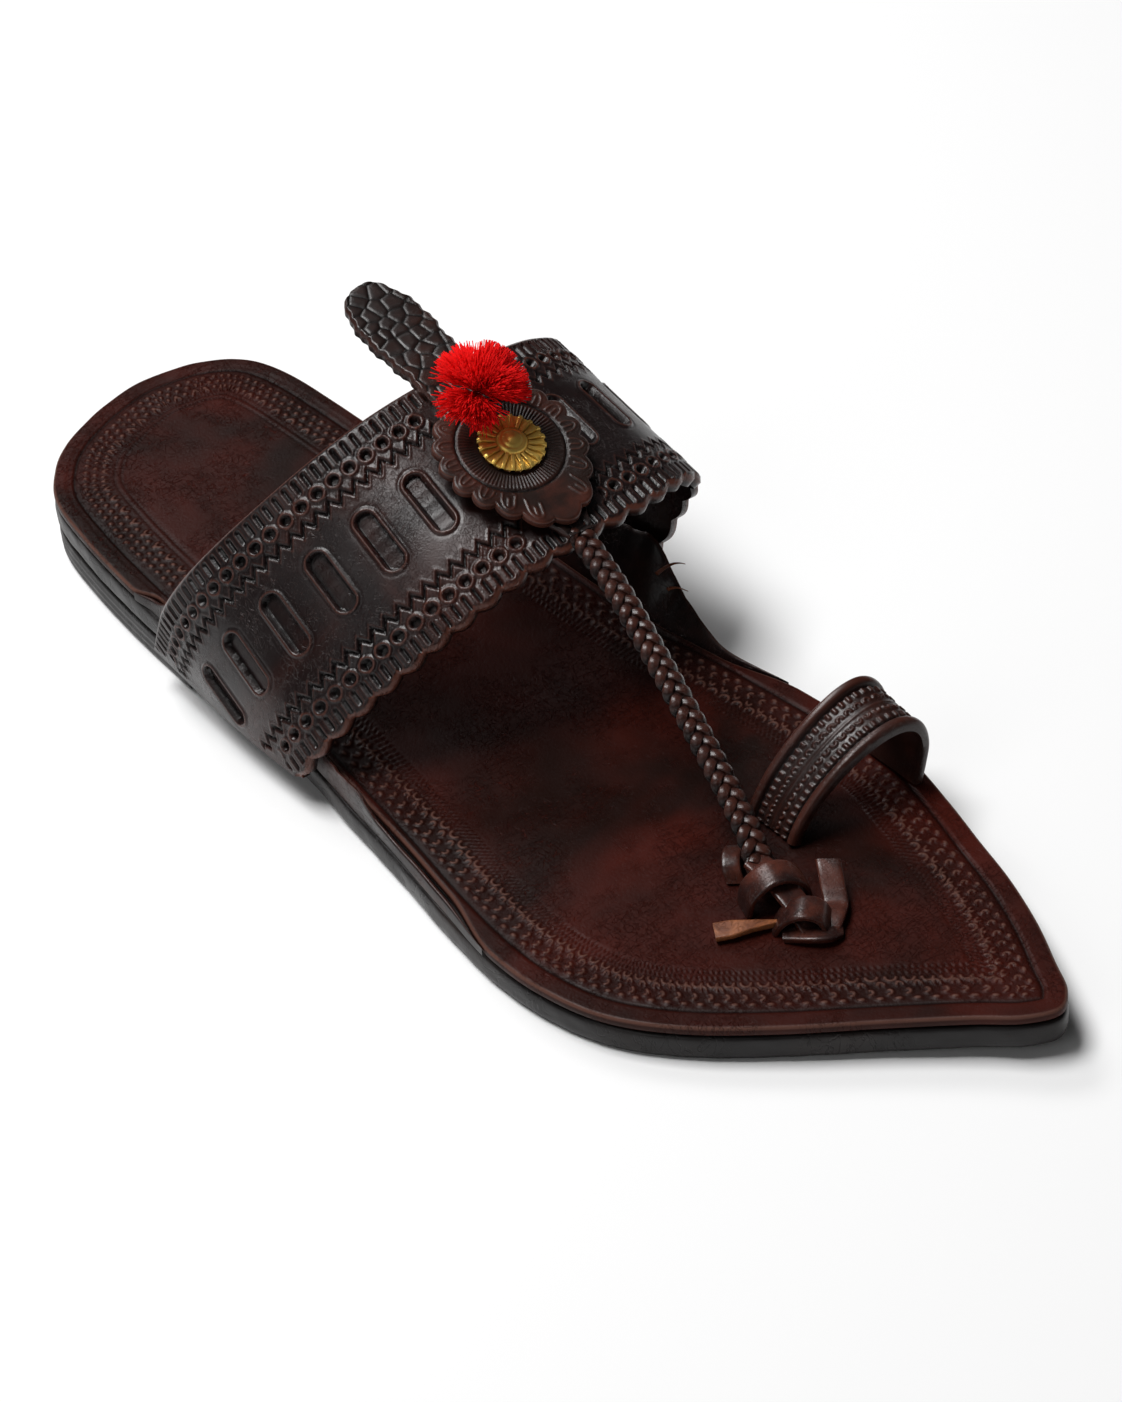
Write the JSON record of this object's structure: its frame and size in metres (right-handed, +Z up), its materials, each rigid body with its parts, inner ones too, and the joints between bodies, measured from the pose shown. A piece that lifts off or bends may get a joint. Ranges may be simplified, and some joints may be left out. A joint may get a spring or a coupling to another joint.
{
  "type": "kolhapuri chappal",
  "caption": "Right flat leather sandal with a pointed toe, punched scalloped instep band, leaf-ended braided strap, toe loop, knot, rosette, stud and pompom.",
  "frame": {"origin": "on the floor under the middle of the heel, at the heel's resting face", "axes": "+Y towards the toe, +Z up, +X towards the wearer's right (the outer side)"},
  "size_m": [0.1057, 0.2875, 0.0816],
  "materials": {
    "edge_black": "satin black edge",
    "heel_black": "satin black",
    "oxblood": "glossy antique oxblood",
    "ear_brown": "semi-gloss",
    "band_brown": "glossy antique",
    "loop_brown": "glossy",
    "knot_brown": "glossy",
    "tan": "satin",
    "rosette_brown": "satin",
    "brass": "polished",
    "red_thread": "cut thread"
  },
  "bodies": {
    "root": {"outsole": "edge_black", "heel": "heel_black", "insole": "oxblood", "ear_lateral": "ear_brown", "ear_medial": "ear_brown", "upper": "band_brown", "toe_loop": "loop_brown", "knot_wrap": "knot_brown", "knot_turn": "knot_brown", "knot_eye": "knot_brown", "knot_end_lateral": "tan", "knot_end_medial": "knot_brown", "rosette": "rosette_brown", "stud": "brass", "pompom": "red_thread"}
  },
  "joints": []
}
